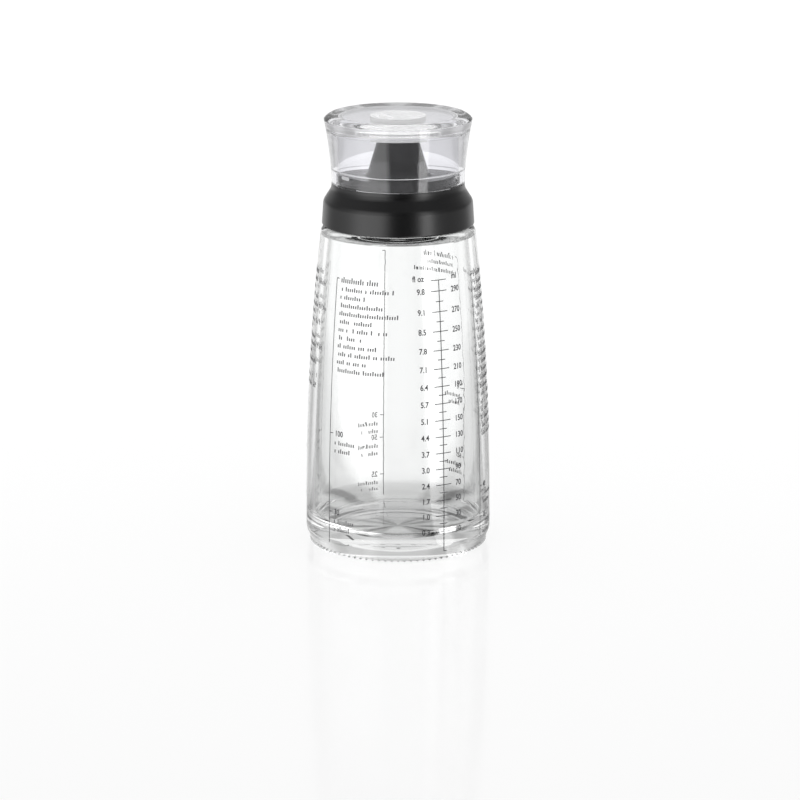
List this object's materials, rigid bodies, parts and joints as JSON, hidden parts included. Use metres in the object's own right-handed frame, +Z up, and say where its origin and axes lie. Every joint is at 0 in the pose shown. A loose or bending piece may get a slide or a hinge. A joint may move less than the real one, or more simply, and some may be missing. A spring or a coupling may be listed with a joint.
{
  "type": "salad dressing shaker",
  "caption": "Tapered glass bottle with a screwed pouring collar, an open conical spout and a clear twist-off cap whose seal closes it.",
  "frame": {"origin": "centre of the plane the bottle stands on", "axes": "+Z up along the bottle's axis, -Y towards the viewer of the picture, +X to the viewer's right"},
  "size_m": [0.071, 0.071, 0.1662],
  "materials": {
    "clear_glass": "clear, polished",
    "black_plastic": "satin",
    "clear_plastic": "clear, polished",
    "seal_silicone": "milky, matt",
    "gasket_silicone": "milky, matt"
  },
  "bodies": {
    "bottle": {"glass_bottle": "clear_glass"},
    "gasket": {"lip_gasket": "gasket_silicone"},
    "collar": {"pouring_collar": "black_plastic"},
    "seal": {"spout_seal": "seal_silicone"},
    "cap": {"clear_cap": "clear_plastic"}
  },
  "joints": [
    {"name": "collar_lift", "type": "slide", "parent": "bottle", "child": "gasket", "axis": [0, 0, 1], "range_m": [0, 0.015]},
    {"name": "collar_turn", "type": "hinge", "parent": "gasket", "child": "collar", "pos_m": [0, 0, 0.13], "axis": [0, 0, 1], "range_deg": [0, 1080]},
    {"name": "cap_lift", "type": "slide", "parent": "collar", "child": "seal", "axis": [0, 0, 1], "range_m": [0, 0.03]},
    {"name": "cap_turn", "type": "hinge", "parent": "seal", "child": "cap", "pos_m": [0, 0, 0.15], "axis": [0, 0, 1], "range_deg": [-30, 0]}
  ],
  "couplings": [
    {"joint": "collar_lift", "follows": "collar_turn", "m_per_rad": 0.0007957}
  ]
}
